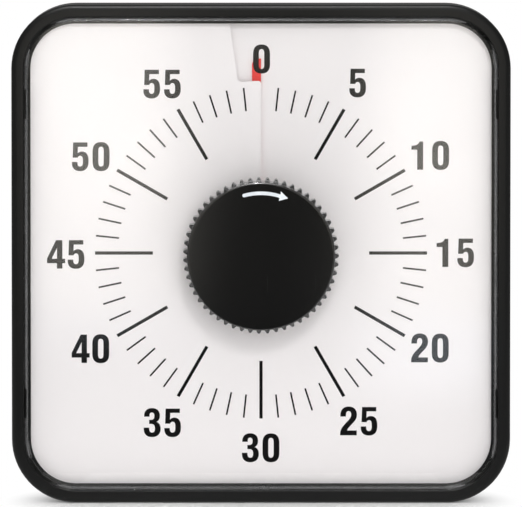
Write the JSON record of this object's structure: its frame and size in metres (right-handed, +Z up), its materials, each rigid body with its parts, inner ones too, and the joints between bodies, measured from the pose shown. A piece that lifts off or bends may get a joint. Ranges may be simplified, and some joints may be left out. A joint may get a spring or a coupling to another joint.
{
  "type": "visual countdown timer",
  "caption": "Square free-standing wind-up countdown timer: a ribbed centre knob winds it and a slit white dial shows the time left as a growing red sector.",
  "frame": {"origin": "on the standing surface, under the middle of the overall box", "axes": "+Z up, the dial and knob face -Y, +X to the right of someone facing the dial"},
  "size_m": [0.1906, 0.045, 0.1905],
  "materials": {
    "case_plastic": "matte moulded, fine spark-eroded grain",
    "clear_plastic": "clear moulded, glossy",
    "dial_sheet": "smooth white sheet, satin",
    "white_plastic": "moulded white, satin",
    "disc_sheet": "red sheet, satin",
    "knob_plastic": "moulded black, satin gloss",
    "arbor_steel": "turned steel",
    "plate_steel": "punched sheet, zinc plated",
    "spring_steel": "blued spring strip",
    "brass": "turned brass",
    "gear_plastic": "natural moulded plastic",
    "bell_steel": "plated steel cup",
    "screw_steel": "zinc plated",
    "dark_screw": "black oxide",
    "magnet_metal": "nickel plated",
    "black_ink": "screen printed on the back of the clear cover",
    "white_ink": "pad printed on the knob"
  },
  "bodies": {
    "case": {"front_frame": "case_plastic", "rear_cover": "case_plastic", "clear_cover": "clear_plastic", "dial_face": "dial_sheet", "dial_seat": "white_plastic", "dial_panel": "white_plastic", "arbor_bushes": "brass", "front_plate": "plate_steel", "back_plate": "plate_steel", "plate_pillars": "screw_steel", "plate_nuts": "screw_steel", "movement_screws": "screw_steel", "mainspring": "spring_steel", "spring_post": "screw_steel", "hammer_spring": "spring_steel", "bell": "bell_steel", "bell_screw": "screw_steel", "panel_screws": "screw_steel", "case_screws": "dark_screw", "magnets": "magnet_metal", "foot_pins": "screw_steel"},
    "spindle": {"knob": "knob_plastic", "main_arbor": "arbor_steel", "great_wheel": "gear_plastic", "ratchet_wheel": "plate_steel", "click_spring": "spring_steel", "trip_cam": "gear_plastic"},
    "disc_carrier": {"time_disc": "disc_sheet", "disc_hub": "disc_sheet"},
    "click_arm": {"click": "plate_steel"},
    "second_train": {"second_wheel": "gear_plastic", "second_arbor": "arbor_steel"},
    "third_train": {"third_wheel": "gear_plastic", "third_arbor": "arbor_steel"},
    "escape_train": {"escape_wheel": "gear_plastic", "escape_arbor": "arbor_steel"},
    "balance": {"pallet_lever": "plate_steel", "balance_wheel": "brass", "balance_staff": "arbor_steel"},
    "striker": {"hammer": "plate_steel", "hammer_arbor": "arbor_steel"},
    "foot_on_left": {"left_foot": "case_plastic"},
    "foot_on_right": {"right_foot": "case_plastic"}
  },
  "joints": [
    {"name": "knob_turn", "type": "hinge", "parent": "case", "child": "spindle", "pos_m": [0, 0, 0.09525], "axis": [0, 1, 0], "range_deg": [0, 360]},
    {"name": "disc_rise", "type": "slide", "parent": "spindle", "child": "disc_carrier", "axis": [0, -1, 0], "range_m": [0, 0.0022]},
    {"name": "click_lift", "type": "hinge", "parent": "spindle", "child": "click_arm", "pos_m": [-0.00087, 0, 0.10521], "axis": [0, -1, 0], "range_deg": [0, 8], "stiffness_Nm_per_rad": 0.0002, "springref_deg": -11.46},
    {"name": "second_turn", "type": "hinge", "parent": "case", "child": "second_train", "pos_m": [-0.01472, 0, 0.08675], "axis": [0, 1, 0], "range_deg": [-2700, 0]},
    {"name": "third_turn", "type": "hinge", "parent": "case", "child": "third_train", "pos_m": [-0.00369, 0, 0.07749], "axis": [0, 1, 0], "range_deg": [0, 21600]},
    {"name": "escape_turn", "type": "hinge", "parent": "case", "child": "escape_train", "pos_m": [0.00667, 0, 0.07372], "axis": [0, 1, 0], "range_deg": [-172800, 0]},
    {"name": "balance_swing", "type": "hinge", "parent": "case", "child": "balance", "pos_m": [0.01527, 0, 0.07372], "axis": [0, 1, 0], "range_deg": [-4, 4]},
    {"name": "hammer_swing", "type": "hinge", "parent": "case", "child": "striker", "pos_m": [0.02, 0, 0.10125], "axis": [0, 1, 0], "range_deg": [0, 6], "stiffness_Nm_per_rad": 0.002, "springref_deg": -5.73},
    {"name": "left_foot_swing", "type": "hinge", "parent": "case", "child": "foot_on_left", "pos_m": [-0.058, 0.0201, 0.0054], "axis": [0, 0, 1], "range_deg": [0, 90]},
    {"name": "right_foot_swing", "type": "hinge", "parent": "case", "child": "foot_on_right", "pos_m": [0.058, 0.0201, 0.0054], "axis": [0, 0, -1], "range_deg": [0, 90]}
  ],
  "couplings": [
    {"joint": "disc_rise", "follows": "knob_turn", "m_per_rad": 0.00035014},
    {"joint": "second_turn", "follows": "knob_turn", "ratio": -7.5},
    {"joint": "third_turn", "follows": "knob_turn", "ratio": 60},
    {"joint": "escape_turn", "follows": "knob_turn", "ratio": -480}
  ]
}
